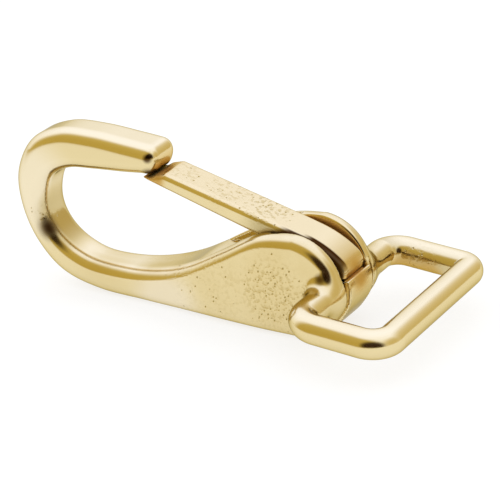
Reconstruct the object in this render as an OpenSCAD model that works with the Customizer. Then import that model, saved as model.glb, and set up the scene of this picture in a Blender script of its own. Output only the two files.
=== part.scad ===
// Spring snap hook with a fixed strap eye, all lengths in millimetres.
// It stands as it rests on a table: on its boss and the lowest stretch of its spine, the eye clear of it.
// Inside the modules the pivot is at zero, x runs toward the eye, z runs up to the nose.

/* [Hook] */
// Pivot axis to the outside of the bow
hook_reach = 55; // [50:0.5:60]
// Height of the hook from the spine's lowest stretch to the top of the nose
hook_h = 28.8; // [27:0.2:31]
// Thickness of the bow and the nose across the hook
bow_t = 7.4; // [6.6:0.1:8.4]
// Rounding of the long edges of the bow and the spine
edge_r = 2.3; // [1.6:0.1:2.6]
// Rounding of the nose's slanted end
nose_r = 2.2; // [1.4:0.1:2.4]
// Slant of the nose's end, from its lower edge back to its upper edge
nose_slant = 1.4; // [0.6:0.1:2.4]
// Reach of the nose's lower edge past the gate's tip
nose_over = 0.1; // [0:0.1:0.6]

/* [Boss] */
// Radius of the round cheeks about the pivot
boss_r = 8.8; // [8.6:0.1:9.3]
// Thickness over both cheeks
boss_t = 13.2; // [12.6:0.1:14]
// Rounding of the cheek rims
rim_r = 2; // [1.2:0.1:2.1]
// Chamfer of the cheek rims on the slot's side
lip_r = 0.6; // [0.4:0.1:0.7]
// Height of the bridge behind the cheeks over their rims
bridge_step = 0.5; // [0.3:0.1:0.8]

/* [Strap eye] */
// Clear width of the eye, for the strap
eye_w = 26; // [22:0.2:32]
// Clear length of the eye, base bar to end bar
eye_l = 10.2; // [9:0.1:16]
// Thickness of the round bar of the eye
eye_d = 4.8; // [4.4:0.1:5.4]
// Bend radius of the eye's corners on the bar's centre line
eye_bend = 3.6; // [3:0.1:4.8]
// Depth of the eye's centre plane below the pivot
eye_drop = 0.2; // [0:0.1:1]

/* [Gate] */
// Pivot axis to the tip of the gate
gate_len = 31.2; // [27:0.2:37]
// Thickness of the gate across the hook
gate_t = 6.9; // [6.4:0.1:7.2]
// Height of the gate at its tip, before the ramp
gate_tip_h = 2.55; // [2.2:0.05:3]
// Height of the gate's underside over the pivot
gate_under = 4.35; // [4.1:0.05:4.6]
// Radius of the slow curve of the gate's back
gate_back_r = 16; // [13:0.5:20]
// Height of the crest of the gate's back over the pivot
gate_top_h = 8; // [7.6:0.1:8.4]
// Distance of that crest in front of the pivot
crest_x = 0.5; // [0:0.1:2]
// Pivot axis to the end of the gate's tail
gate_tail = 7.5; // [6.6:0.1:8.2]
// Height of the tail's end
tail_h = 1.9; // [1.2:0.1:2.6]
// Radius of the ears that carry the pin
ear_r = 4.5; // [4.2:0.1:4.8]
// Rounding of the gate's long edges
gate_edge_r = 1; // [0.5:0.1:1.2]
// Length of the ramp at the tip that lies under the nose
ramp_l = 3.9; // [3.4:0.1:4.6]
// Swing of the gate to its stop on the slot's floor, in degrees
gate_swing = 27; // [20:0.5:28]

/* [Pin and spring] */
// Diameter of the pivot pin
pin_d = 3; // [2.6:0.1:3.2]
// Wire of the gate spring
wire_d = 0.8; // [0.6:0.05:0.9]
// Width of the channel in the gate that holds the spring
channel_w = 3.4; // [3:0.1:3.8]

/* [Fits] */
// Gap between the gate and each cheek
side_gap = 0.4; // [0.2:0.05:0.5]
// Radial play of the gate on its pin
pin_play = 0.05; // [0.02:0.01:0.09]
// Gap round the ears in the slot's pocket
pocket_gap = 0.3; // [0.2:0.05:0.5]
// Gap between the gate's tail and the ledge below it
ledge_gap = 0.25; // [0.1:0.05:0.5]
// Gap left between the open gate and the slot's floor
stop_gap = 0.15; // [0.1:0.05:0.3]
// Gap between the shut gate and the nose's round end
tip_gap = 0.15; // [0.1:0.05:0.3]

/* [Smoothness] */
// Facets of a full round
round_n = 96; // [48:12:144]
// Rings between two stations of the hook
ring_n = 5; // [3:1:6]

/* [Hidden] */
brass = [0.83, 0.67, 0.33];
steel = [0.72, 0.73, 0.75];

// Cuts run this far past the faces they leave.
overrun = boss_t;

// The lips run round the cheeks from below the eye to the front of the slot, in degrees.
lip_a = 40;
lip_b = 120;

// Stations of the hook from nose to boss: outside x and z, inside x and z, flare.
// x is a share of the reach, z a share of the height, flare a share of the growth in thickness.
hook_shares = [
  [0.514, 0.572, 0.540, 0.390, 0],
  [0.600, 0.573, 0.610, 0.366, 0],
  [0.725, 0.570, 0.720, 0.335, 0],
  [0.845, 0.538, 0.808, 0.303, 0],
  [0.948, 0.424, 0.870, 0.230, 0],
  [1.000, 0.212, 0.893, 0.110, 0],
  [0.990, -0.010, 0.890, -0.016, 0],
  [0.936, -0.217, 0.855, -0.125, 0],
  [0.840, -0.374, 0.790, -0.203, 0],
  [0.700, -0.429, 0.700, -0.235, 0.08],
  [0.530, -0.405, 0.548, -0.200, 0.25],
  [0.364, -0.370, 0.400, -0.098, 0.55],
  [0.210, -0.340, 0.256, 0.078, 0.85],
  [0.090, -0.320, 0.122, 0.248, 1]
];
last = len(hook_shares);

// The shut gate's tip stands under the nose: its lean follows from its length and the hook's height.
tip_rise_share = 0.377;
tip_z = tip_rise_share * hook_h;
tip_d = norm([gate_len, gate_under]);
gate_lean = asin(tip_z / tip_d) - atan2(gate_under, gate_len);
nose_low = sqrt(tip_d * tip_d - tip_z * tip_z) + nose_over;
nose_top = nose_low - nose_slant;

// The nose's stations run from the gate's tip to the first station of the bow.
bow_i = 3;
function reach_to(s, c, nose) = let (a = hook_shares[0][c], b = hook_shares[bow_i][c])
    s[c] >= b ? s[c] * hook_reach : nose + (s[c] - a) / (b - a) * (b * hook_reach - nose);
function share_st(s, i) = [-(i < bow_i ? reach_to(s, 0, nose_top) : s[0] * hook_reach), s[1] * hook_h,
    -(i < bow_i ? reach_to(s, 2, nose_low) : s[2] * hook_reach), s[3] * hook_h,
    bow_t + (boss_t - bow_t) * s[4]];
stations = concat([for (i = [0:last - 1]) share_st(hook_shares[i], i)], [[0, -boss_r, 0, boss_r, boss_t]]);

// Smooth curve through the stations.
function st_at(i) = stations[max(0, min(last, i))];
function smooth(a, b, c, d, t) = 0.5 * (2 * b + (c - a) * t + (2 * a - 5 * b + 4 * c - d) * t * t
    + (3 * b - a - 3 * c + d) * t * t * t);
function along(u) = let (i = min(last - 1, floor(u)))
    smooth(st_at(i - 1), st_at(i), st_at(i + 1), st_at(i + 2), u - i);
steps = last * ring_n;
curve = [for (k = [0:steps]) along(k / ring_n)];

// One rounded section: in the hook's plane from inside to outside, across it by the thickness.
corner_n = 5;
function ring(s, inset, out) =
    let (o = [s[0], s[1]], n = [s[2], s[3]], mid = (o + n) / 2, dir = (o - n) / norm(o - n),
         fwd = [dir[1], -dir[0]], hh = norm(o - n) / 2 - inset, ht = s[4] / 2 - inset,
         grown = (s[4] - bow_t) / (boss_t - bow_t),
         r = min(edge_r + (rim_r - edge_r) * grown, hh + inset, ht + inset) - inset)
    [for (q = [0:3]) for (k = [0:corner_n - 1])
        let (a = 90 * q + 90 * k / (corner_n - 1), sx = (q == 0 || q == 3) ? 1 : -1, sy = q < 2 ? 1 : -1,
             h = sx * (hh - r) + r * cos(a), t = sy * (ht - r) + r * sin(a), p = mid + dir * h + fwd * out)
        [p[0], t, p[1]]];
nose_n = 5;
end_share = 0.97;
end_r = min(nose_r, end_share * edge_r);
nose_rings = [for (k = [0:nose_n - 1]) let (a = 90 - 90 * k / nose_n)
    ring(curve[0], end_r * (1 - cos(a)), end_r * sin(a))];
rings = concat(nose_rings, [for (s = curve) ring(s, 0, 0)]);
ring_len = 4 * corner_n;

// The way it rests: the table touches the round boss and the spine from below.
base_x = boss_r - eye_d / 2;
end_x = base_x + eye_l + eye_d;
eye_z = -eye_drop;
function lean_to(p) = atan2(-p[1], -p[0]) - asin(boss_r / norm([p[0], p[1]]));
rest_tilt = max([for (s = curve) if (norm([s[0], s[1]]) > 2 * boss_r) lean_to(s)]);
rest_up = boss_r;
far_x = end_x * cos(rest_tilt) + eye_z * sin(rest_tilt) + eye_d / 2;
bow_x = min([for (s = curve) s[0] * cos(rest_tilt) + s[1] * sin(rest_tilt)]);
rest_x = -(far_x + bow_x) / 2;

// Gate sizes in its own frame, where the underside is level.
tip_top = [-gate_len, gate_under + gate_tip_h];
back_c = [-crest_x, gate_top_h - gate_back_r];
tip_v = tip_top - back_c;
back_a = atan2(tip_v[1], tip_v[0]) - acos(gate_back_r / norm(tip_v));
back_p = back_c + gate_back_r * [cos(back_a), sin(back_a)];
ramp_p = tip_top + (back_p - tip_top) * ramp_l / norm(back_p - tip_top);
tip_share = 0.15;
tail_top = back_c[1] + sqrt(gate_back_r * gate_back_r - (gate_tail + crest_x) * (gate_tail + crest_x));
tail_a = atan2(tail_top - tail_h, gate_tail);
slot_w = gate_t + 2 * side_gap;
front_share = 0.36;

// The round corner under the nose's end, seen in the gate's frame.
nose_v = [nose_low - nose_top, (hook_shares[0][1] - hook_shares[0][3]) * hook_h];
nose_c = [-nose_low, hook_shares[0][3] * hook_h] + end_r * nose_v / norm(nose_v);
seat_c = [nose_c[0] * cos(gate_lean) - nose_c[1] * sin(gate_lean),
    nose_c[0] * sin(gate_lean) + nose_c[1] * cos(gate_lean)];

// Spring sizes: a coil round the pin, one leg under the gate, one leg down in the pocket.
coil_gap_share = 0.35;
coil_r = pin_d / 2 + (1 + coil_gap_share) * wire_d / 2;
channel_r = coil_r + wire_d;
leg_share = 1.8;
leg_x = -leg_share * ear_r;
leg_room = wire_d + 2 * pin_play;
wire_n = 10;
turn_n = 20;
turns = 2;
wire_pitch = wire_d * (1 + coil_gap_share / 4);

module at_rest() {
  translate([rest_x, 0, rest_up]) rotate([0, rest_tilt, 0]) children();
}

// Turns a flat outline in x and z into a slab across the hook.
module slab(t) {
  rotate([90, 0, 0]) linear_extrude(height = t, center = true) children();
}

// Nose, bow and spine: one rounded section carried along the hook's curve.
module bow() {
  n = len(rings);
  pts = [for (r = rings) for (p = r) p];
  side = [for (i = [0:n - 2]) for (j = [0:ring_len - 1])
      let (a = i * ring_len + j, b = i * ring_len + (j + 1) % ring_len)
      [a, a + ring_len, b + ring_len, b]];
  caps = [[for (j = [0:ring_len - 1]) j], [for (j = [ring_len - 1:-1:0]) (n - 1) * ring_len + j]];
  polyhedron(points = pts, faces = concat(side, caps), convexity = 10);
}

// Round disc with soft rims, turned about the pivot axis.
module soft_disc(rad, t, r) {
  rotate([90, 0, 0]) rotate_extrude($fn = round_n) union() {
    translate([0, -t / 2]) square([rad - r, t]);
    translate([0, r - t / 2]) square([rad, t - 2 * r]);
    translate([rad - r, t / 2 - r]) circle(r, $fn = round_n / 2);
    translate([rad - r, r - t / 2]) circle(r, $fn = round_n / 2);
  }
}

// Rectangular eye of round bar, its plane square to the hook's plane.
module eye() {
  half = (eye_w + eye_d) / 2;
  long = end_x - base_x - 2 * eye_bend;
  wide = 2 * (half - eye_bend);
  translate([0, 0, eye_z]) {
    for (s = [-1, 1]) translate([base_x + eye_bend, s * half, 0]) rotate([0, 90, 0])
      cylinder(h = long, d = eye_d, $fn = round_n / 2);
    for (x = [base_x, end_x]) translate([x, -wide / 2, 0]) rotate([-90, 0, 0])
      cylinder(h = wide, d = eye_d, $fn = round_n / 2);
    for (q = [0:3]) {
      x = (q == 0 || q == 3) ? end_x - eye_bend : base_x + eye_bend;
      y = q < 2 ? wide / 2 : -wide / 2;
      translate([x, y, 0]) rotate([0, 0, 90 * q]) rotate_extrude(angle = 90, $fn = round_n)
        translate([eye_bend, 0]) circle(d = eye_d, $fn = round_n / 2);
    }
  }
}

// Slot between the cheeks: a pocket for the ears, a slanted floor in front, a ledge behind.
module slot_outline() {
  front = hook_reach * front_share;
  circle(ear_r + pocket_gap, $fn = round_n);
  rotate(gate_swing - gate_lean) translate([-front, gate_under - stop_gap]) square([front + boss_r, 2 * boss_r]);
  rotate(tail_a - gate_lean) translate([0, -ledge_gap]) square([boss_r + 2 * bridge_step, 2 * boss_r]);
}

// Trench in the slot's floor that the spring's leg sinks into when the gate is open.
module leg_trench() {
  rotate(gate_swing - gate_lean) translate([-2 * ear_r, 0]) square([2 * ear_r, gate_under]);
}

// Takes the sharp edge off each cheek's rim, on the slot's side.
module lip_cut() {
  in_r = boss_r - lip_r - side_gap;
  out_r = boss_r + 2 * bridge_step;
  low = slot_w / 2 - side_gap;
  for (s = [0, 1]) mirror([0, s, 0]) rotate([90, 0, 0]) rotate(-lip_a)
    rotate_extrude(angle = lip_a + lip_b, $fn = round_n)
      polygon([[in_r, low], [out_r, low], [out_r, low + out_r - in_r]]);
}

// Bridge between the cheeks behind the slot, a little proud of their rims.
module bridge() {
  intersection() {
    rotate([90, 0, 0]) cylinder(r = boss_r + bridge_step, h = slot_w, center = true, $fn = round_n);
    slab(boss_t) rotate(-lip_a) square([2 * boss_r, 2 * boss_r]);
  }
}

module hook_body() {
  color(brass) at_rest() difference() {
    union() {
      bow();
      soft_disc(boss_r, boss_t, rim_r);
      bridge();
      eye();
    }
    slab(slot_w) slot_outline();
    lip_cut();
    slab(channel_w) leg_trench();
    rotate([90, 0, 0]) cylinder(h = boss_t + overrun, d = pin_d, center = true, $fn = round_n / 2);
  }
}

// Section of a bar with four soft edges.
module soft_section(w, h, r) {
  polygon([for (q = [0:3]) for (k = [0:corner_n - 1])
      let (a = 90 * q + 90 * k / (corner_n - 1), sx = (q == 0 || q == 3) ? 1 : -1, sy = q < 2 ? 1 : 0)
      [sx * (w / 2 - r) + r * cos(a), sy * (h - 2 * r) + r + r * sin(a)]]);
}

// Lever of the gate: its side view cut from two soft bars, one along its top, one along its underside.
module lever() {
  top_a = atan2(back_p[1] - ramp_p[1], back_p[0] - ramp_p[0]);
  long = gate_len + gate_back_r;
  intersection() {
    slab(gate_t + overrun) polygon([[-gate_len, gate_under], [-gate_len, gate_under + tip_share * gate_tip_h],
        ramp_p, back_p, [back_p[0], gate_under]]);
    translate([back_p[0], 0, back_p[1]]) rotate([0, -top_a, 0]) rotate([90, 0, -90])
      translate([0, -gate_len]) linear_extrude(height = long) soft_section(gate_t, gate_len, gate_edge_r);
    translate([gate_back_r, 0, gate_under]) rotate([90, 0, -90])
      linear_extrude(height = gate_len + 2 * gate_back_r) soft_section(gate_t, gate_len, gate_edge_r);
  }
}

// Back of the gate: the rim of a wide disc with soft edges, from the lever to the tail.
module gate_back() {
  intersection() {
    translate([back_c[0], 0, back_c[1]]) soft_disc(gate_back_r, gate_t, gate_edge_r);
    slab(gate_t + overrun) polygon([[back_p[0] - gate_edge_r, gate_under], [back_p[0], 2 * gate_top_h],
        [gate_tail, 2 * gate_top_h], [gate_tail, tail_top - tail_h], [0, 0], [-ear_r / 2, gate_under]]);
  }
}

// Room for the coil, open below, with a groove to the front for the leg that lifts the gate.
module channel_outline() {
  circle(channel_r, $fn = round_n / 2);
  translate([-2 * ear_r, -2 * ear_r]) square([2 * ear_r, 2 * ear_r + gate_under + leg_room]);
  translate([-ear_r, -2 * ear_r]) square([2 * ear_r, 2 * ear_r]);
}

module gate() {
  color(brass) at_rest() rotate([0, gate_lean, 0]) difference() {
    union() {
      lever();
      gate_back();
      slab(gate_t) circle(ear_r, $fn = round_n);
    }
    slab(gate_t + overrun) translate(seat_c) circle(end_r + tip_gap, $fn = round_n);
    slab(channel_w) channel_outline();
    rotate([90, 0, 0]) cylinder(h = gate_t + overrun, d = pin_d + 2 * pin_play, center = true,
      $fn = round_n / 2);
  }
}

module pivot_pin() {
  color(brass) at_rest() rotate([90, 0, 0])
    cylinder(h = boss_t, d = pin_d, center = true, $fn = round_n / 2);
}

// Path of the spring wire in the gate's frame: leg under the gate, coil, leg in the pocket.
leg_end = [leg_x, gate_under + leg_room - wire_d / 2 - pin_play];
leg_a = atan2(leg_end[1], leg_end[0]) - acos(coil_r / norm(leg_end));
foot_a = gate_lean;
coil_turn = 360 * turns + leg_a - foot_a;
coil_n = floor(turn_n * coil_turn / 360);
coil_w = wire_pitch * coil_turn / 360;
foot_share = 0.8;
foot_end = coil_r * [cos(foot_a), sin(foot_a)] + foot_share * ear_r * [sin(foot_a), -cos(foot_a)];
wire_path = concat([[leg_end[0], -coil_w / 2, leg_end[1]]],
    [for (k = [0:coil_n]) let (a = leg_a - coil_turn * k / coil_n)
        [coil_r * cos(a), coil_w * (k / coil_n - 0.5), coil_r * sin(a)]],
    [[foot_end[0], coil_w / 2, foot_end[1]]]);

module gate_spring() {
  m = len(wire_path);
  pts = [for (i = [0:m - 1])
      let (a = wire_path[max(0, i - 1)], b = wire_path[min(m - 1, i + 1)], t = (b - a) / norm(b - a),
           side = cross(t, [0, 1, 0]) / norm(cross(t, [0, 1, 0])), up = cross(side, t))
      for (j = [0:wire_n - 1]) let (w = 360 * j / wire_n)
        wire_path[i] + wire_d / 2 * (side * cos(w) + up * sin(w))];
  faces = concat(
      [for (i = [0:m - 2]) for (j = [0:wire_n - 1])
          let (p = i * wire_n + j, q = i * wire_n + (j + 1) % wire_n) [p, q, q + wire_n, p + wire_n]],
      [[for (j = [wire_n - 1:-1:0]) j], [for (j = [0:wire_n - 1]) (m - 1) * wire_n + j]]);
  color(steel) at_rest() rotate([0, gate_lean, 0]) polyhedron(points = pts, faces = faces, convexity = 10);
}

hook_body();
gate();
pivot_pin();
gate_spring();
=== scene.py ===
import math

import bpy
import numpy as np
from mathutils import Matrix, Vector


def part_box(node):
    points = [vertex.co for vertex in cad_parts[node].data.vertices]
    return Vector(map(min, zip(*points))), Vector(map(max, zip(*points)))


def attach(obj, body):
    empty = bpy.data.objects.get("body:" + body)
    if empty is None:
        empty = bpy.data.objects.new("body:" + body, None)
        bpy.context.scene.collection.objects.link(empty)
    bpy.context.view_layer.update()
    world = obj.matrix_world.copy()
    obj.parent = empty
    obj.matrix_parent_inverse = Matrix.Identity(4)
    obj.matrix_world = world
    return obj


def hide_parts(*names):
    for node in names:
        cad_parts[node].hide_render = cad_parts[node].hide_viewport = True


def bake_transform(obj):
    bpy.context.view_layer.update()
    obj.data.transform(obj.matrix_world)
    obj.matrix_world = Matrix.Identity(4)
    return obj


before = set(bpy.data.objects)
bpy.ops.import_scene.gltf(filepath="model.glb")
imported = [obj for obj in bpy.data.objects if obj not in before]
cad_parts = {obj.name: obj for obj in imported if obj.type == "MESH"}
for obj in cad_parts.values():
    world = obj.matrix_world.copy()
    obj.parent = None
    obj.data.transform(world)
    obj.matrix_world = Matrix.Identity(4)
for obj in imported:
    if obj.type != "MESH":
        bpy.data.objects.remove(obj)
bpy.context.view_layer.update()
mm = 0.001
print("frame loaded")


# shape fields: negative inside, in millimetres about the pivot, x toward the eye, z up to the nose

def softMin(a, b, reach):
    h = np.clip(0.5 + 0.5 * (b - a) / reach, 0, 1)
    return b + (a - b) * h - reach * h * (1 - h)


def softMax(a, b, reach):
    return -softMin(-a, -b, reach)


def roundedSlab(outline, side, edge):
    a = outline + edge
    b = side + edge
    return np.minimum(np.maximum(a, b), 0) + np.hypot(np.maximum(a, 0), np.maximum(b, 0)) - edge


def turned(x, z, degrees):
    c, s = math.cos(math.radians(degrees)), math.sin(math.radians(degrees))
    return x * c - z * s, x * s + z * c


def polygonDistance(points, x, z):
    x, z = np.broadcast_arrays(x, z)
    px, pz = np.ravel(x), np.ravel(z)
    ax, az = points[:, 0], points[:, 1]
    bx, bz = np.roll(ax, -1), np.roll(az, -1)
    ex, ez = bx - ax, bz - az
    lengths = ex * ex + ez * ez
    out = np.empty(len(px))
    batch = 4000
    for i in range(0, len(px), batch):
        dx = px[i:i + batch, None] - ax
        dz = pz[i:i + batch, None] - az
        t = np.clip((dx * ex + dz * ez) / lengths, 0, 1)
        near = ((dx - t * ex) ** 2 + (dz - t * ez) ** 2).min(1)
        crosses = (az <= pz[i:i + batch, None]) != (bz <= pz[i:i + batch, None])
        safe = np.where(ez == 0, 1, ez)
        inside = (crosses & (dx < dz * ex / safe)).sum(1) % 2
        out[i:i + batch] = np.sqrt(near) * np.where(inside, -1, 1)
    return out.reshape(x.shape)


class FlatField:  # a distance field over x and z, read back with smooth cubic weights
    def __init__(self, points, step, margin):
        self.low = points.min(0) - margin
        count = np.ceil((points.max(0) + margin - self.low) / step).astype(int) + 1
        self.step = step
        xs = self.low[0] + step * np.arange(count[0])
        zs = self.low[1] + step * np.arange(count[1])
        self.values = polygonDistance(points, xs[:, None], zs[None, :])

    def __call__(self, x, z):
        x, z = np.broadcast_arrays(x, z)
        u = (x - self.low[0]) / self.step
        v = (z - self.low[1]) / self.step
        i = np.clip(np.floor(u).astype(int), 1, self.values.shape[0] - 3)
        j = np.clip(np.floor(v).astype(int), 1, self.values.shape[1] - 3)
        wu = self.weights(np.clip(u - i, 0, 1))
        wv = self.weights(np.clip(v - j, 0, 1))
        total = 0
        for a in range(4):
            for b in range(4):
                total = total + wu[a] * wv[b] * self.values[i + a - 1, j + b - 1]
        return total

    @staticmethod
    def weights(t):
        return ((1 - t) ** 3 / 6, (3 * t ** 3 - 6 * t ** 2 + 4) / 6,
                (-3 * t ** 3 + 3 * t ** 2 + 3 * t + 1) / 6, t ** 3 / 6)


def fieldGradient(field, points, reach):
    x, y, z = points.T
    return np.stack([
        field(x + reach, y, z) - field(x - reach, y, z),
        field(x, y + reach, z) - field(x, y - reach, z),
        field(x, y, z + reach) - field(x, y, z - reach)], 1) / (2 * reach)


# meshes the zero surface: one point per crossed cell, then pulled onto it
def skinOf(field, low, high, cell):
    axes = [np.arange(a - 2 * cell, b + 2 * cell, cell) for a, b in zip(low, high)]
    values = field(axes[0][:, None, None], axes[1][None, :, None], axes[2][None, None, :])
    values = np.ascontiguousarray(np.broadcast_to(values, [len(a) for a in axes]))
    inside = values < 0
    shape = np.array(values.shape) - 1
    corners = [(i, j, k) for i in (0, 1) for j in (0, 1) for k in (0, 1)]

    def corner(array, c):
        return array[c[0]:c[0] + shape[0], c[1]:c[1] + shape[1], c[2]:c[2] + shape[2]]

    count = sum(corner(inside, c).astype(np.int8) for c in corners)
    cells = np.argwhere((count > 0) & (count < 8))
    index = np.full(shape, -1)
    index[tuple(cells.T)] = np.arange(len(cells))
    total = np.zeros((len(cells), 3))
    hits = np.zeros(len(cells))
    for axis in range(3):
        for c in corners:
            if c[axis]:
                continue
            d = list(c)
            d[axis] = 1
            a = values[tuple((cells + c).T)]
            b = values[tuple((cells + d).T)]
            crossed = (a < 0) != (b < 0)
            t = np.where(crossed, a / np.where(a == b, 1, a - b), 0)
            place = np.tile(np.array(c, float), (len(cells), 1))
            place[:, axis] += t
            total += place * crossed[:, None]
            hits += crossed
    points = np.array([a[0] for a in axes]) + (cells + total / hits[:, None]) * cell
    quads = []
    for axis in range(3):
        p, q = (axis + 1) % 3, (axis + 2) % 3
        first = [slice(None)] * 3
        second = [slice(None)] * 3
        first[axis], second[axis] = slice(0, -1), slice(1, None)
        change = inside[tuple(first)] != inside[tuple(second)]
        at = np.argwhere(change)
        at = at[(at[:, p] > 0) & (at[:, q] > 0) & (at[:, p] < shape[p]) & (at[:, q] < shape[q])]
        start = inside[tuple(at.T)]
        ring = []
        for dp, dq in ((1, 1), (0, 1), (0, 0), (1, 0)):
            place = at.copy()
            place[:, p] -= dp
            place[:, q] -= dq
            ring.append(index[tuple(place.T)])
        ring = np.stack(ring, 1)
        ring[~start] = ring[~start][:, ::-1]
        quads.append(ring)
    flattest = 0.2  # keeps a weak slope from throwing a point far
    for pull in range(3):
        slope = fieldGradient(field, points, cell / 5)
        size = np.maximum((slope ** 2).sum(1), flattest)
        move = -slope * (field(*points.T) / size)[:, None]
        points += np.clip(move, -cell / 2, cell / 2)
    normals = fieldGradient(field, points, cell / 3)
    normals /= np.maximum(np.linalg.norm(normals, axis=1), 1e-9)[:, None]
    return points, normals, np.concatenate(quads)


# where the part rests: the pivot's place comes from the frame, the lean from the hook's own curve
pinLow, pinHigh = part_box("pivot_pin")
pivotPoint = (Vector(pinLow) + Vector(pinHigh)) / 2


def atRest(points):
    x, z = turned(points[:, 0], points[:, 2], -restLean)
    return np.stack([x, points[:, 1], z], 1)


def addSkin(name, points, normals, quads, body, slot, material, node):
    mesh = bpy.data.meshes.new(name)
    mesh.from_pydata((atRest(points) * mm + np.array(pivotPoint)).tolist(), [], quads.tolist())
    mesh.polygons.foreach_set("use_smooth", [True] * len(mesh.polygons))
    mesh.normals_split_custom_set_from_vertices(atRest(normals).tolist())
    mesh.materials.append(material)
    obj = bpy.data.objects.new(name, mesh)
    bpy.context.scene.collection.objects.link(obj)
    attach(obj, body)
    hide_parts(node)
    print(name, len(points), "points")


# brass colours, shared by the casting, the gate and the pin: the finish, with painted light and shade
brassFinishAndPaintedLight = {
    "side": (0.775, 0.648, 0.36, 1),
    "top": (0.93, 0.85, 0.70, 1),  # painted highlight: paler where it faces up, as if lit from above
    # the gate's painted highlight, where it faces up
    "gatePaintedHighlight": (0.87, 0.76, 0.56, 1),
    # cast-skin tone of the mottled patches; also used to paint shade over the eye's bars and inside the
    # bow
    "castSkinAndShade": (0.68, 0.535, 0.245, 1),
    "pit": (0.55, 0.42, 0.165, 1),
    "shade": (0.06, 0.019, 0.002, 1),  # painted shade in the narrow gaps, and painted dark reflections for the dark spots
    "shadeRough": 0.6,
    "edge": (0.40, 0.32, 0.14, 1),  # painted shade: a darker tone at the outline and in some bands
    "edgeTint": (0.62, 0.54, 0.32, 1),
    "glow": (0.66, 0.40, 0.09, 1),  # painted reflection: a warm tone that stands in for brass mirrored in brass
    "topFrom": (0.35, 0.95),  # how far up a face has to look to get the painted highlight
    # where the surface turns away from the view, the painted outline shade comes in over this range
    "paintedOutlineShadeFrom": (0.74, 0.96),
    "gloss": 0.16,
    "pitRough": 0.2,
    "pitsPerMetre": 1700.0,
    "pitSize": (0.12, 0.38),
    "pitShare": 0.45,
    "speckPerMetre": 1500.0,
    "speckCut": (0.48, 0.66),
    "speckShare": 0.8,
    "wavesPerMetre": 120.0,
    "mottlePerMetre": 260.0,
    "mottleCut": (0.3, 0.6),
    "mottleLeast": 0.6,
    "pitDepth": 0.2,
    "waveDepth": 0.18,
    "bump": 0.5,
}


def link(tree, a, b):
    tree.links.new(a, b)


def mixColour(tree, mask, a, b):
    mix = tree.nodes.new("ShaderNodeMix")
    mix.data_type = "RGBA"
    link(tree, mask, mix.inputs["Factor"])
    if isinstance(a, tuple):
        mix.inputs["A"].default_value = a
    else:
        link(tree, a, mix.inputs["A"])
    mix.inputs["B"].default_value = b
    return mix.outputs["Result"]


def ranged(tree, value, start, end, low=0.0, high=1.0):
    node = tree.nodes.new("ShaderNodeMapRange")
    node.interpolation_type = "SMOOTHSTEP"
    for name, number in (("From Min", start), ("From Max", end), ("To Min", low), ("To Max", high)):
        if isinstance(number, (int, float)):
            node.inputs[name].default_value = number
        else:
            link(tree, number, node.inputs[name])
    link(tree, value, node.inputs["Value"])
    return node.outputs["Result"]


def maths(tree, operation, a, b=0.0):
    node = tree.nodes.new("ShaderNodeMath")
    node.operation = operation
    for socket, value in zip(node.inputs, (a, b)):
        if isinstance(value, (int, float)):
            socket.default_value = value
        else:
            link(tree, value, socket)
    return node.outputs["Value"]


def newGroup(name, inputs, outputs):
    tree = bpy.data.node_groups.new(name, "ShaderNodeTree")
    for socket in inputs:
        kind = "NodeSocketVector" if socket in ("Place", "Centre") else "NodeSocketFloat"
        tree.interface.new_socket(socket, in_out="INPUT", socket_type=kind)
    for socket in outputs:
        tree.interface.new_socket(socket, in_out="OUTPUT", socket_type="NodeSocketFloat")
    return tree, tree.nodes.new("NodeGroupInput").outputs, tree.nodes.new("NodeGroupOutput").inputs


def useGroup(tree, group, place, **values):
    node = tree.nodes.new("ShaderNodeGroup")
    node.node_tree = group
    link(tree, place, node.inputs["Place"])
    for name, value in values.items():
        node.inputs[name].default_value = value
    return node


def addBump(tree, shader, height, strength, distance):
    bump = tree.nodes.new("ShaderNodeBump")
    bump.inputs["Strength"].default_value = strength
    bump.inputs["Distance"].default_value = distance
    link(tree, height, bump.inputs["Height"])
    link(tree, bump.outputs["Normal"], shader.inputs["Normal"])


def noise(tree, place, perMetre, detail):
    node = tree.nodes.new("ShaderNodeTexNoise")
    node.inputs["Scale"].default_value = perMetre
    node.inputs["Detail"].default_value = detail
    link(tree, place, node.inputs["Vector"])
    return node.outputs["Fac"]


def makeCastGrain():  # pits, fine specks, slow waves and mottling of a cast skin
    tree, start, end = newGroup(
        "castGrain", ["Place", "Pits"], ["Height", "Pit Mask", "Roughness", "Mottle"])
    f = brassFinishAndPaintedLight
    cells = tree.nodes.new("ShaderNodeTexVoronoi")
    cells.inputs["Scale"].default_value = f["pitsPerMetre"]
    link(tree, start["Place"], cells.inputs["Vector"])
    dot = ranged(tree, cells.outputs["Distance"], *f["pitSize"], 1.0, 0.0)
    chance = tree.nodes.new("ShaderNodeSeparateColor")
    link(tree, cells.outputs["Color"], chance.inputs["Color"])
    share = maths(tree, "MULTIPLY", start["Pits"], f["pitShare"])
    chosen = maths(tree, "LESS_THAN", chance.outputs["Red"], share)
    speck = ranged(tree, noise(tree, start["Place"], f["speckPerMetre"], detail=3), *f["speckCut"])
    speck = maths(tree, "MULTIPLY", speck, maths(tree, "MULTIPLY", start["Pits"], f["speckShare"]))
    pit = maths(tree, "MAXIMUM", maths(tree, "MULTIPLY", dot, chosen), speck)
    waves = noise(tree, start["Place"], f["wavesPerMetre"], detail=1.5)
    waves = maths(tree, "MULTIPLY", waves, f["waveDepth"])
    deep = maths(tree, "MULTIPLY", pit, f["pitDepth"])
    rough = ranged(tree, pit, 0.0, 1.0, f["gloss"], f["gloss"] + f["pitRough"])
    mottle = noise(tree, start["Place"], f["mottlePerMetre"], detail=4)
    mottle = ranged(tree, mottle, *f["mottleCut"], f["mottleLeast"], 1.0)
    link(tree, maths(tree, "SUBTRACT", waves, deep), end["Height"])
    link(tree, pit, end["Pit Mask"])
    link(tree, rough, end["Roughness"])
    link(tree, mottle, end["Mottle"])
    return tree


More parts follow.
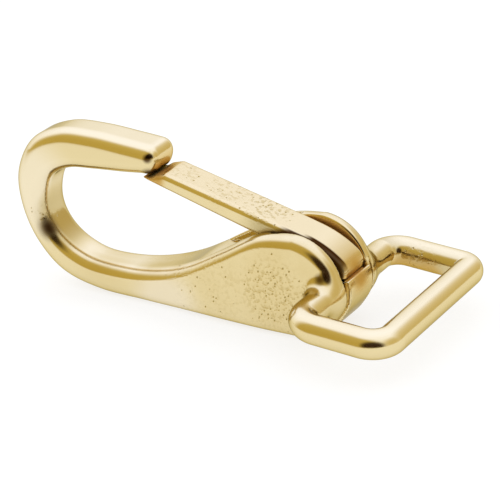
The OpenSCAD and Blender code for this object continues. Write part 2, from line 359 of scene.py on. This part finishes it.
def makeRoundPatch():  # full inside Near, gone at Far
    tree, start, end = newGroup("roundPatch", ["Place", "Centre", "Near", "Far", "Amount"], ["Mask"])
    gap = tree.nodes.new("ShaderNodeVectorMath")
    gap.operation = "DISTANCE"
    link(tree, start["Place"], gap.inputs[0])
    link(tree, start["Centre"], gap.inputs[1])
    mask = ranged(tree, gap.outputs["Value"], start["Near"], start["Far"], start["Amount"], 0.0)
    link(tree, mask, end["Mask"])
    return tree


# a band round an axis along y: comes in between From and To on one side, and goes out over Wide
def makeSideBand():
    tree, start, end = newGroup(
        "sideBand", ["Place", "Centre", "Side", "From", "To", "Wide", "Near", "Far", "Amount"], ["Mask"])
    gap = tree.nodes.new("ShaderNodeVectorMath")
    gap.operation = "SUBTRACT"
    link(tree, start["Place"], gap.inputs[0])
    link(tree, start["Centre"], gap.inputs[1])
    parts = tree.nodes.new("ShaderNodeSeparateXYZ")
    link(tree, gap.outputs["Vector"], parts.inputs["Vector"])
    across = maths(tree, "MULTIPLY", parts.outputs["Y"], start["Side"])
    gone = maths(tree, "ADD", start["To"], start["Wide"])
    aside = ranged(tree, across, start["From"], start["To"])
    aside = maths(tree, "MULTIPLY", aside, ranged(tree, across, start["To"], gone, 1.0, 0.0))
    squares = [maths(tree, "POWER", parts.outputs[axis], 2.0) for axis in ("X", "Z")]
    around = maths(tree, "SQRT", maths(tree, "ADD", *squares))
    fade = ranged(tree, around, start["Near"], start["Far"], start["Amount"], 0.0)
    link(tree, maths(tree, "MULTIPLY", aside, fade), end["Mask"])
    return tree


castGrain = makeCastGrain()
roundPatch = makeRoundPatch()
sideBand = makeSideBand()


def toRow(x, y, z):  # a point by the pivot, in millimetres, to the row frame
    p = atRest(np.array([[x, y, z]], float))[0]
    return Vector(p * mm) + pivotPoint


def patchMask(tree, place, patches):  # the strongest of several round patches
    mask = None
    for centre, near, far, amount in patches:
        patch = useGroup(tree, roundPatch, place, Centre=toRow(*centre),
                         Near=near * mm, Far=far * mm, Amount=amount).outputs["Mask"]
        mask = patch if mask is None else maths(tree, "MAXIMUM", mask, patch)
    return mask


def makeBrass(name, top, pits=(), castSkin=(), tints=(), bands=()):
    f = brassFinishAndPaintedLight
    material = bpy.data.materials.new(name)
    material.use_nodes = True
    tree = material.node_tree
    shader = tree.nodes["Principled BSDF"]
    shader.inputs["Metallic"].default_value = 1
    shader.inputs["Specular Tint"].default_value = f["edgeTint"]
    coordinates = tree.nodes.new("ShaderNodeTexCoord").outputs
    place = coordinates["Object"]
    grain = useGroup(tree, castGrain, place)
    upward = tree.nodes.new("ShaderNodeSeparateXYZ")
    link(tree, coordinates["Normal"], upward.inputs["Vector"])
    # painted highlight: faces that look up get the paler colour, as if lit from above
    base = mixColour(tree, ranged(tree, upward.outputs["Z"], *f["topFrom"]), f["side"], f[top])
    if castSkin:
        mottled = maths(tree, "MULTIPLY", patchMask(tree, place, castSkin), grain.outputs["Mottle"])
        base = mixColour(tree, mottled, base, f["castSkinAndShade"])
    if pits:
        link(tree, patchMask(tree, place, pits), grain.inputs["Pits"])
        base = mixColour(tree, grain.outputs["Pit Mask"], base, f["pit"])
    # painted light and shade in round patches
    for centre, near, far, amount, colour in tints:
        mask = patchMask(tree, place, [(centre, near, far, amount)])
        base = mixColour(tree, mask, base, f[colour])
    rough = grain.outputs["Roughness"]
    # painted light and shade in bands
    for centre, side, start, end, wide, near, far, amount, colour in bands:
        band = useGroup(tree, sideBand, place, Centre=toRow(centre[0], 0, centre[1]), Side=side,
                        From=start * mm, To=end * mm, Wide=wide * mm,
                        Near=near * mm, Far=far * mm, Amount=amount).outputs["Mask"]
        base = mixColour(tree, band, base, f[colour])
        if colour != "castSkinAndShade":  # these bands are duller too
            rough = maths(tree, "MAXIMUM", rough, maths(tree, "MULTIPLY", band, f["shadeRough"]))
    # painted shade: a darker tone mixed in where the surface turns away from the view
    facing = tree.nodes.new("ShaderNodeLayerWeight").outputs["Facing"]
    base = mixColour(tree, ranged(tree, facing, *f["paintedOutlineShadeFrom"]), base, f["edge"])
    link(tree, base, shader.inputs["Base Color"])
    if pits or bands:
        link(tree, rough, shader.inputs["Roughness"])
    else:  # one gloss all over
        shader.inputs["Roughness"].default_value = f["gloss"]
    addBump(tree, shader, grain.outputs["Height"], f["bump"], mm)
    return material


# the casting: nose, bow, spine, cheeks and strap eye
hook = {
    "reach": 55.0,
    "height": 28.8,
    "bowThick": 7.4,
    "bossThick": 13.2,
    "bossRadius": 8.8,
    "edgeRound": 2.3,
    "rimRound": 2.0,
    "noseRound": 2.4,
    "noseBack": 0.24,
    "noseArea": (-20.0, 8.0),  # left of this x and over this z the nose doesn't flare
    "easeBack": 4.0,
    "easeRounds": 8,
    "flareFrom": -41.0,
    "flareTo": -2.0,
    "skin": 0.03,  # the polished face runs over the flush ends of the pin
    "slotWide": 7.7,
    "slotPocket": 4.8,
    "slotTurn": 14.776,
    "slotFloor": 4.2,
    "slotFront": 19.8,
    "ledgeTurn": 15.59,
    "ledgeGap": 0.04,
    "bridgeStep": 0.5,
    "bridgeBlend": 0.3,
    "lowCut": 0.84,  # slopes of the lines that end the bridge and the lips
    "frontCut": 0.6,
    "lip": 0.6,
    "lipBlend": 0.1,
    "lipOver": 0.3,
    "fillet": 2.6,
    "slotEdge": 0.4,
    "eyeWide": 30.8,
    "eyeFrom": 6.4,
    "eyeTo": 21.4,
    "eyeBar": 4.8,
    "eyeBend": 3.6,
    "eyeTip": 1.8,  # the far corner came out of the mould a little sharper
    "eyeDrop": 0.2,
    "lowShare": -0.43,  # the box to mesh, as shares of the height
    "highShare": 0.58,
    "perStation": 24,
    "leanPerStation": 5,  # as in the solid, so both rest at the same lean
    "noseSteps": 16,
    "bossSteps": 120,
    "planStep": 0.2,
    "planMargin": 3.0,
    "cell": 0.25,
    # outside x and z, inside x and z, as shares of reach and height, from the nose to the boss
    "shares": [
        (0.514, 0.572, 0.540, 0.390), (0.600, 0.573, 0.610, 0.366), (0.725, 0.570, 0.720, 0.335),
        (0.845, 0.538, 0.808, 0.303), (0.948, 0.424, 0.870, 0.230), (1.000, 0.212, 0.893, 0.110),
        (0.990, -0.010, 0.890, -0.016), (0.936, -0.217, 0.855, -0.125), (0.840, -0.374, 0.790, -0.203),
        (0.700, -0.429, 0.700, -0.235), (0.530, -0.405, 0.548, -0.200), (0.364, -0.370, 0.400, -0.098),
        (0.210, -0.340, 0.256, 0.078), (0.090, -0.320, 0.122, 0.248)],
}


def hookCurve(perStation):
    size = np.array([-hook["reach"], hook["height"], -hook["reach"], hook["height"]])
    boss = hook["bossRadius"]
    stops = np.vstack([np.array(hook["shares"]) * size, [0, -boss, 0, boss]])
    last = len(stops) - 1
    out = []
    for k in range(last * perStation + 1):
        i = min(last - 1, k // perStation)
        t = k / perStation - i
        a, b, c, d = (stops[min(max(n, 0), last)] for n in (i - 1, i, i + 1, i + 2))
        out.append(0.5 * (2 * b + (c - a) * t + (2 * a - 5 * b + 4 * c - d) * t * t
                          + (3 * b - a - 3 * c + d) * t ** 3))
    return np.array(out)


def leanOf(curve):  # the table touches the boss and the spine
    far = np.hypot(curve[:, 0], curve[:, 1])
    leans = np.arctan2(-curve[:, 1], -curve[:, 0]) - np.arcsin(np.minimum(hook["bossRadius"] / far, 1))
    return math.degrees(leans[far > 2 * hook["bossRadius"]].max())


def hookOutline():
    curve = hookCurve(hook["perStation"])
    outside, inside = curve[:, :2], curve[:, 2:]
    across = (outside[0] - inside[0]) / np.linalg.norm(outside[0] - inside[0])
    forward = np.array([across[1], -across[0]])
    r = hook["noseRound"]
    arc = np.radians(np.linspace(0, 90, hook["noseSteps"]))[:, None]
    back = forward * hook["noseBack"]
    noseTop = outside[0] - back - across * r * (1 - np.cos(arc)) + forward * r * np.sin(arc)
    noseLow = inside[0] - back + across * r * (1 - np.cos(arc)) + forward * r * np.sin(arc)
    sweep = np.radians(np.linspace(90, -90, hook["bossSteps"]))[1:-1]
    boss = hook["bossRadius"] * np.stack([np.cos(sweep), np.sin(sweep)], 1)
    trim = 3  # the curve's first points give way to the nose's round end
    points = np.vstack([outside[trim:][::-1], noseTop[1:], noseLow[:0:-1], inside[trim:], boss])
    x, z = points.T
    areaX, areaZ = hook["noseArea"]
    end = (x > outside[0][0] - hook["easeBack"]) & (x < areaX) & (z > areaZ)
    for ease in range(hook["easeRounds"]):  # softens the kinks where the nose's end joins the curve
        eased = (np.roll(points, 1, 0) + 2 * points + np.roll(points, -1, 0)) / 4
        points = np.where(end[:, None], eased, points)
    return points


hookPlan = FlatField(hookOutline(), hook["planStep"], hook["planMargin"])
restLean = leanOf(hookCurve(hook["leanPerStation"]))
print("hook outline ready, lean", round(restLean, 3))


def hookField(x, y, z):
    t = np.clip((x - hook["flareFrom"]) / (hook["flareTo"] - hook["flareFrom"]), 0, 1)
    areaX, areaZ = hook["noseArea"]
    flare = t * t * (3 - 2 * t) * np.where((z > areaZ) & (x < areaX), 0, 1)
    half = (hook["bowThick"] + (hook["bossThick"] - hook["bowThick"]) * flare) / 2 + hook["skin"]
    edge = hook["edgeRound"] + (hook["rimRound"] - hook["edgeRound"]) * flare
    body = roundedSlab(hookPlan(x, z), np.abs(y) - half, edge)
    bend = np.where((x > hook["eyeTo"] / 2) & (y > 0), hook["eyeTip"], hook["eyeBend"])
    middle, halfLong = (hook["eyeFrom"] + hook["eyeTo"]) / 2, (hook["eyeTo"] - hook["eyeFrom"]) / 2
    qx = np.abs(x - middle) - halfLong + bend
    qy = np.abs(y) - hook["eyeWide"] / 2 + bend
    loop = np.hypot(np.maximum(qx, 0), np.maximum(qy, 0)) + np.minimum(np.maximum(qx, qy), 0) - bend
    eye = np.hypot(loop, z + hook["eyeDrop"]) - hook["eyeBar"] / 2
    far = np.hypot(x, z)
    boss = hook["bossRadius"]
    wall = np.abs(y) - hook["slotWide"] / 2
    behind = -z - hook["lowCut"] * x
    bridge = np.maximum(np.maximum(far - boss - hook["bridgeStep"], behind), wall)
    whole = softMin(softMin(body, bridge, hook["bridgeBlend"]), eye, hook["fillet"])
    tx, tz = turned(x, z, -hook["slotTurn"])
    floor = np.maximum(hook["slotFloor"] - tz, -hook["slotFront"] - tx)
    lx, lz = turned(x, z, -hook["ledgeTurn"])
    ledge = np.maximum(np.maximum(-lx, -hook["ledgeGap"] - lz), lx - boss - 2 * hook["bridgeStep"])
    slot = np.minimum(np.minimum(far - hook["slotPocket"], floor), ledge)
    whole = softMax(whole, -np.maximum(slot, wall), hook["slotEdge"])
    lip = hook["lip"]  # takes the sharp edge off the cheeks beside the slot
    corner = lip - np.hypot(np.maximum(far - boss + lip, 0), np.maximum(lip - wall, 0))
    side = np.maximum(np.maximum(-x - hook["frontCut"] * z, behind),
                      np.maximum(wall - lip, -wall - hook["lipOver"]))
    side = np.maximum(side, far - boss - 2 * hook["bridgeStep"])
    return softMax(whole, -np.maximum(side, corner), hook["lipBlend"])


noseSeat = (-28.1, 11.6)  # where the nose meets the gate
# patches of pits and of cast skin: centre, full within, gone at, amount
cheekPits = [((-3, -6.6, -1.5), 3, 9, 0.62), ((-12, -6.2, -4), 2, 8, 0.3), ((-20, -5.5, -6), 1, 6, 0.28)]
cheekSkins = [((0, -6, 0.5), 5, 13, 0.55), ((-13, -5.5, 0), 3, 10, 0.3), ((-27, -4.5, -3), 3, 8, 0.65),
              ((-38, -4, -5), 2, 8, 0.5)]


def bothSides(patches):
    return patches + [((x, -y, z), near, far, amount) for (x, y, z), near, far, amount in patches]


castPits = bothSides(cheekPits) + [((-49, -3, 1), 1, 5, 0.25), ((13, 14, -2.6), 2, 6, 0.45)]
castSkins = bothSides(cheekSkins)
# painted light and shade in round patches, fixed to the part
castPaintedLight = [  # centre, full within, gone at, amount, colour
    # painted reflection: warm tone where the eye's near bar meets the cheek
    ((4.5, -9, -1), 1.0, 3.0, 0.6, "glow"),
    # painted highlights: lighter on the near side of the bow's outer end and low on the spine
    ((-52.5, -3.7, 4), 5, 13, 0.5, "top"),
    ((-24, -5, -10), 3, 9, 0.5, "top"),
    # painted shade: a faint darker cast-skin tone over the eye's end bar
    ((21.4, 0, 0), 6, 15, 0.08, "castSkinAndShade"),
    # painted reflection: warm tone inside the eye's far bar
    ((10.5, 13.4, -2.2), 1.4, 3.8, 0.9, "glow"),
    ((14.5, 13.4, -2.2), 1.4, 3.8, 0.9, "glow"),
    # painted shade: a faint darker cast-skin tone over the eye's near bar
    ((13, -15.4, 0), 4, 8, 0.12, "castSkinAndShade"),
    # painted dark reflections: a spot on the cheek's rim by the eye and one at the nose's end
    ((5.9, -6.4, 3.3), 0.4, 1.5, 0.9, "shade"),
    ((-28.2, -3.5, 14.75), 0.3, 1.1, 0.9, "shade"),
]
# painted light and shade in bands, fixed to the part
castPaintedLightBands = [  # centre x and z, side, from, to, fade, full within, gone at, amount, colour
    # painted reflection: warm tone on the far cheek beside the slot
    ((0, 0), 1.0, 3.6, 3.8, 0.8, 8.2, 8.7, 0.8, "glow"),
    # painted shade: darker band on the far cheek's outer rim
    ((0, 0), 1.0, 4.9, 5.5, 0.9, 9.5, 10.5, 0.55, "edge"),
    # painted shade inside the bow's curve: a cast-skin tone and a darker band on its inside wall
    ((-43.5, 0.5), 1.0, -9, -8, 40, 5.6, 7.2, 0.9, "castSkinAndShade"),
    ((-46, -1), 1.0, -9, -8, 40, 3.5, 6.0, 0.35, "edge"),
    # painted dark reflection: a spot inside the bow on the near side
    ((-48.3, -2.9), -1.0, 1.0, 3.2, 3, 0.3, 2.9, 0.95, "shade"),
    # painted reflection: warm tone on the bridge behind the gate's tail
    ((8.4, 1.8), 1.0, -4.3, 0, 4.3, 1.2, 3.6, 0.85, "glow"),
    # painted shade: darker band on top of the eye's far bar
    ((13, 1.6), 1.0, 12.3, 12.9, 2.2, 6.0, 8.5, 0.3, "edge"),
    # painted reflection and painted shade at the nose's seat: a warm tone round it and a dark tone in the
    # gap
    (noseSeat, 1.0, -3.3, -2.0, 40, 2.4, 4.4, 0.45, "glow"),
    (noseSeat, 1.0, -9, -8, 40, 0.5, 1.8, 0.9, "shade"),
]
castBrass = makeBrass("castBrass", "top", castPits, castSkins, castPaintedLight, castPaintedLightBands)
halfWide = (hook["eyeWide"] + hook["eyeBar"]) / 2
castLow = (-hook["reach"], -halfWide, hook["lowShare"] * hook["height"])
castHigh = (hook["eyeTo"] + hook["eyeBar"] / 2, halfWide, hook["highShare"] * hook["height"])
addSkin("hookCasting", *skinOf(hookField, castLow, castHigh, hook["cell"]),
        "hook", "cast_brass", castBrass, "hook_body")


# the gate: lever, round back and ears, with a channel for the spring
gate = {
    "long": 31.2,
    "thick": 6.9,
    "tipHigh": 2.55,
    "tipFace": 0.38,
    "under": 4.35,
    "backRadius": 16.0,
    "topHigh": 8.0,
    "crest": 0.5,
    "tail": 7.5,
    "tailHigh": 1.9,
    "tailRound": 1.4,
    "tailLow": 3.956,
    "tailLeast": 0.1,
    "earRadius": 4.5,
    "edge": 1.0,
    "ramp": 3.9,
    "lean": 12.224,
    "seatCentre": (-31.272, 6.892),
    "seatRound": 2.26,
    "seatBlend": 0.3,
    "bore": 1.55,
    "channelWide": 3.4,
    "channelRound": 2.84,
    "legRoom": 0.9,
    "boxLow": (-31.5, -3.5, -5.5),
    "boxHigh": (9.5, 3.5, 15.0),
    "backSteps": 40,
    "planStep": 0.1,
    "planMargin": 3.0,
    "cell": 0.16,
}


def gateOutline():
    centre = np.array([-gate["crest"], gate["topHigh"] - gate["backRadius"]])
    tip = np.array([-gate["long"], gate["under"] + gate["tipHigh"]])
    away = tip - centre
    first = math.atan2(away[1], away[0]) - math.acos(gate["backRadius"] / np.linalg.norm(away))
    last = math.acos((gate["tail"] + gate["tailRound"] - centre[0]) / gate["backRadius"])
    sweep = np.linspace(first, last, gate["backSteps"])
    back = centre + gate["backRadius"] * np.stack([np.cos(sweep), np.sin(sweep)], 1)
    # the tail's underside runs on along its line
    lowTail = gate["tailLow"] * (1 + gate["tailRound"] / gate["tail"])
    rampTop = tip + (back[0] - tip) * gate["ramp"] / np.linalg.norm(back[0] - tip)
    return np.vstack([
        [-gate["long"], gate["under"]], [-gate["long"], gate["under"] + gate["tipFace"]], rampTop, back,
        [gate["tail"] + gate["tailRound"], lowTail], [0, 0], [-gate["earRadius"] / 2, gate["under"]]])


gatePlan = FlatField(gateOutline(), gate["planStep"], gate["planMargin"])


def gateField(x, y, z):
    gx, gz = turned(x, z, gate["lean"])
    far = np.hypot(gx, gz)
    bend = gate["tailRound"] * np.clip((gz - gate["tailLow"]) / gate["tailHigh"], gate["tailLeast"], 1)
    outline = softMax(gatePlan(gx, gz), gx - gate["tail"], bend)
    outline = np.minimum(outline, far - gate["earRadius"])
    seat = np.hypot(gx - gate["seatCentre"][0], gz - gate["seatCentre"][1]) - gate["seatRound"]
    outline = softMax(outline, -seat, gate["seatBlend"])
    whole = roundedSlab(outline, np.abs(y) - gate["thick"] / 2, gate["edge"])
    ear = gate["earRadius"]
    groove = np.maximum(np.maximum(gx, -2 * ear - gx), gz - gate["under"] - gate["legRoom"])
    below = np.maximum(np.abs(gx) - ear, gz)
    channel = np.minimum(np.minimum(far - gate["channelRound"], groove), below)
    whole = np.maximum(whole, -np.maximum(channel, np.abs(y) - gate["channelWide"] / 2))
    return np.maximum(whole, gate["bore"] - far)


gatePits = [((-8, 0.5, 10.3), 2, 6, 0.65), ((-15, 0.5, 11.5), 1, 6, 0.5), ((-23, 0, 13), 1, 5, 0.35)]
# painted light and shade in bands on the gate
gatePaintedLightBands = [
    # painted shade: darker band on the gate's near side
    ((-3.5, 6.5), -1.0, 3.0, 3.4, 4, 3.5, 8.5, 0.55, "edge"),
    # painted shade in the gaps beside the near cheek
    ((0, 0), -1.0, 2.9, 3.3, 4, 8.4, 9.6, 1.0, "shade"),
    ((5.0, 6.6), -1.0, 1.9, 2.3, 4, 3.0, 5.2, 1.0, "shade"),
    ((1.0, 8.3), -1.0, 2.6, 2.9, 4, 2.5, 5.0, 0.95, "shade"),
    # painted reflections: warm tones on the far side beside the cheek and at the tail
    ((0, 0), 1.0, 3.1, 3.4, 4, 8.4, 9.6, 1.0, "glow"),
    ((8.2, 2.6), 1.0, -4.3, 0, 4.3, 1.2, 3.6, 0.9, "glow"),
    # painted reflection and painted shade at the nose's seat: a warm tone round it and a dark tone in the
    # gap
    (noseSeat, 1.0, -9, -8, 40, 2.0, 3.8, 0.85, "glow"),
    (noseSeat, 1.0, -3.0, -1.8, 40, 0.5, 1.3, 0.95, "shade"),
]
gateBrass = makeBrass("gateBrass", "gatePaintedHighlight", gatePits, bands=gatePaintedLightBands)
addSkin("gateLever", *skinOf(gateField, gate["boxLow"], gate["boxHigh"], gate["cell"]),
        "gate_lever", "gate_brass", gateBrass, "gate")


# the pin stays as the frame has it, under the polished cheeks
pinBrass = makeBrass("pinBrass", "top")
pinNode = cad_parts["pivot_pin"]
pinNode.data.materials.clear()
pinNode.data.materials.append(pinBrass)


# the spring: a coil on the pin, one leg under the gate, one foot in the pocket
spring = {
    "wire": 0.8,
    "coil": 2.04,
    "turns": 2,
    "pitch": 0.87,
    "legEnd": (-8.1, 4.8),
    "foot": 3.6,
    "sides": 16,
    "perTurn": 40,
    "bright": (0.72, 0.73, 0.75, 1),
    "dull": (0.55, 0.55, 0.56, 1),
    "marksPerMetre": 2200.0,
    "dullCut": (0.35, 0.65),
    "roughCut": (0.3, 0.7),
    "rough": (0.22, 0.42),
    "bump": 0.3,
    "bumpDeep": 0.1,
}


def springPath():
    end = np.array(spring["legEnd"])
    legTurn = math.atan2(end[1], end[0]) - math.acos(spring["coil"] / np.linalg.norm(end))
    footTurn = math.radians(gate["lean"])
    sweep = 2 * math.pi * spring["turns"] + legTurn - footTurn
    wide = spring["pitch"] * sweep / (2 * math.pi)
    count = int(spring["perTurn"] * sweep / (2 * math.pi))
    share = np.linspace(0, 1, count)
    turn = legTurn - sweep * share
    r = spring["coil"]
    coil = np.stack([r * np.cos(turn), wide * (share - 0.5), r * np.sin(turn)], 1)
    foot = coil[-1] + spring["foot"] * np.array([math.sin(footTurn), 0, -math.cos(footTurn)])
    path = np.vstack([[end[0], -wide / 2, end[1]], coil, foot])
    x, z = turned(path[:, 0], path[:, 2], -gate["lean"])
    return np.stack([x, path[:, 1], z], 1)


def addSpring(material):
    path = springPath()
    ahead = np.gradient(path, axis=0)
    ahead /= np.linalg.norm(ahead, axis=1)[:, None]
    side = np.cross(ahead, [0, 1, 0])
    side /= np.linalg.norm(side, axis=1)[:, None]
    up = np.cross(side, ahead)
    n = spring["sides"]
    turn = np.arange(n) * 2 * math.pi / n
    rings = path[:, None] + spring["wire"] / 2 * (
        side[:, None] * np.cos(turn)[None, :, None] + up[:, None] * np.sin(turn)[None, :, None])
    faces = [[i * n + j, i * n + (j + 1) % n, (i + 1) * n + (j + 1) % n, (i + 1) * n + j]
             for i in range(len(path) - 1) for j in range(n)]
    faces.append(list(range(n))[::-1])
    faces.append([(len(path) - 1) * n + j for j in range(n)])
    mesh = bpy.data.meshes.new("gateSpring")
    mesh.from_pydata((atRest(rings.reshape(-1, 3)) * mm + np.array(pivotPoint)).tolist(), [], faces)
    mesh.polygons.foreach_set("use_smooth", [True] * len(mesh.polygons))
    mesh.materials.append(material)
    obj = bpy.data.objects.new("gateSpring", mesh)
    bpy.context.scene.collection.objects.link(obj)
    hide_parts("gate_spring")
    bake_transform(obj)


def makeSpringSteel():  # bright drawn wire with dull marks
    material = bpy.data.materials.new("springSteel")
    material.use_nodes = True
    tree = material.node_tree
    shader = tree.nodes["Principled BSDF"]
    shader.inputs["Metallic"].default_value = 1
    place = tree.nodes.new("ShaderNodeTexCoord").outputs["Object"]
    marks = noise(tree, place, spring["marksPerMetre"], detail=3)
    dull = ranged(tree, marks, *spring["dullCut"])
    link(tree, mixColour(tree, dull, spring["bright"], spring["dull"]), shader.inputs["Base Color"])
    link(tree, ranged(tree, marks, *spring["roughCut"], *spring["rough"]), shader.inputs["Roughness"])
    addBump(tree, shader, marks, spring["bump"], spring["bumpDeep"] * mm)
    return material


addSpring(makeSpringSteel())
print("spring and pin ready")


# the camera, set by the photograph: azimuth, elevation and target are in the hook's own frame
shot = {
    "azimuth": 30.99,
    "elevation": 27.01,
    "distance": 400.0,
    "target": (-10.96, 0.0, 1.3),
    "focalPixels": 2478.0,
    "imagePixels": 500.0,
    "sensor": 36.0,
    "clip": (0.01, 20.0),
}


def rowDirection(v):
    return Vector(atRest(np.array([v], float))[0])


def addCamera():
    a, e = math.radians(shot["azimuth"]), math.radians(shot["elevation"])
    back = rowDirection((math.sin(a) * math.cos(e), -math.cos(a) * math.cos(e), math.sin(e)))
    right = rowDirection((math.cos(a), math.sin(a), 0))
    up = back.cross(right)
    data = bpy.data.cameras.new("photoCamera")
    data.sensor_width = shot["sensor"]
    data.lens = shot["focalPixels"] * shot["sensor"] / shot["imagePixels"]
    data.clip_start, data.clip_end = shot["clip"]
    obj = bpy.data.objects.new("photoCamera", data)
    place = toRow(*shot["target"]) + back * shot["distance"] * mm
    turn = Matrix((right, up, back)).transposed().to_4x4()
    obj.matrix_world = Matrix.Translation(place) @ turn
    bpy.context.scene.collection.objects.link(obj)
    bpy.context.scene.camera = obj


addCamera()


# studio: a pale floor and a white surround; mirrored light also shows a low warm side in front,
# a dim side at the back and on the right, and the dark camera itself
studio = {
    "surround": (1.0, 1.0, 1.0, 1),
    "strength": 1.1,
    "lowColour": (0.56, 0.43, 0.115, 1),
    "lowToward": (-0.12, -0.99, 0.0),
    "lowSides": (0.22, 0.62),
    "lowTop": (0.80, 0.96),
    "farColour": (0.68, 0.57, 0.30, 1),
    "farToward": (0.62, 0.76, 0.2),
    "farFull": 6.0,
    "farEnd": 45.0,
    "rightToward": (0.97, 0.1, 0.22),
    "rightFull": 2.0,
    "rightEnd": 40.0,
    "darkColour": (0.03, 0.011, 0.001, 1),
    "darkLift": 12.0,
    "darkFull": 23.0,
    "darkEnd": 42.0,
    "floorColour": (0.34, 0.34, 0.34, 1),
    "floorGlow": 0.7,
    "floorFade": (0.045, 0.20),
    "floorHalf": 6.0,
}


def dotWith(tree, direction, toward):
    dot = tree.nodes.new("ShaderNodeVectorMath")
    dot.operation = "DOT_PRODUCT"
    dot.inputs[1].default_value = Vector(toward).normalized()
    link(tree, direction, dot.inputs[0])
    return dot.outputs["Value"]


def capMask(tree, direction, toward, full, end):
    edges = [math.cos(math.radians(angle)) for angle in (end, full)]
    return ranged(tree, dotWith(tree, direction, toward), *edges)


def makeWorld():
    world = bpy.data.worlds.new("studioWorld")
    world.use_nodes = True
    bpy.context.scene.world = world
    tree = world.node_tree
    background = tree.nodes["Background"]
    direction = tree.nodes.new("ShaderNodeTexCoord").outputs["Generated"]
    parts = tree.nodes.new("ShaderNodeSeparateXYZ")
    link(tree, direction, parts.inputs["Vector"])
    sides = dotWith(tree, direction, studio["lowToward"])
    low = maths(tree, "MULTIPLY", ranged(tree, parts.outputs["Z"], *studio["lowTop"], 1.0, 0.0),
                ranged(tree, sides, *studio["lowSides"]))
    turn, lift = math.radians(shot["azimuth"]), math.radians(studio["darkLift"])
    toward = rowDirection(
        (math.sin(turn) * math.cos(lift), -math.cos(turn) * math.cos(lift), math.sin(lift)))
    dark = capMask(tree, direction, toward, studio["darkFull"], studio["darkEnd"])
    far = capMask(tree, direction, studio["farToward"], studio["farFull"], studio["farEnd"])
    right = capMask(tree, direction, studio["rightToward"], studio["rightFull"], studio["rightEnd"])
    far = maths(tree, "MAXIMUM", far, right)
    colour = mixColour(tree, low, studio["surround"], studio["lowColour"])
    colour = mixColour(tree, far, colour, studio["farColour"])
    colour = mixColour(tree, dark, colour, studio["darkColour"])
    path = tree.nodes.new("ShaderNodeLightPath")
    plain = maths(tree, "SUBTRACT", 1.0, path.outputs["Is Glossy Ray"])  # all but mirrored light is white
    colour = mixColour(tree, plain, colour, studio["surround"])
    link(tree, colour, background.inputs["Color"])
    background.inputs["Strength"].default_value = studio["strength"]


def addFloor():
    mesh = bpy.data.meshes.new("studioFloor")
    half = studio["floorHalf"]
    corners = [(-half, -half, 0), (half, -half, 0), (half, half, 0), (-half, half, 0)]
    mesh.from_pydata(corners, [], [(0, 1, 2, 3)])
    obj = bpy.data.objects.new("studioFloor", mesh)
    bpy.context.scene.collection.objects.link(obj)
    material = bpy.data.materials.new("paleFloor")
    material.use_nodes = True
    tree = material.node_tree
    shader = tree.nodes["Principled BSDF"]
    shader.inputs["Roughness"].default_value = 1
    shader.inputs["Specular IOR Level"].default_value = 0
    path = tree.nodes.new("ShaderNodeLightPath")
    place = tree.nodes.new("ShaderNodeTexCoord").outputs["Object"]
    front = dotWith(tree, place, studio["lowToward"])
    front = ranged(tree, front, *studio["floorFade"])  # runs into the warm side
    front = maths(tree, "MULTIPLY", front, path.outputs["Is Glossy Ray"])
    warm = [a * b for a, b in zip(studio["floorColour"], studio["lowColour"])]
    link(tree, mixColour(tree, front, studio["floorColour"], warm), shader.inputs["Base Color"])
    shine = mixColour(tree, front, studio["surround"], studio["lowColour"])
    link(tree, shine, shader.inputs["Emission Color"])
    seen = maths(tree, "MAXIMUM", path.outputs["Is Camera Ray"], path.outputs["Is Glossy Ray"])
    glow = maths(tree, "MULTIPLY", seen, studio["floorGlow"])
    link(tree, glow, shader.inputs["Emission Strength"])
    mesh.materials.append(material)


makeWorld()
addFloor()
bpy.context.scene.view_settings.view_transform = "Standard"
print("studio ready")
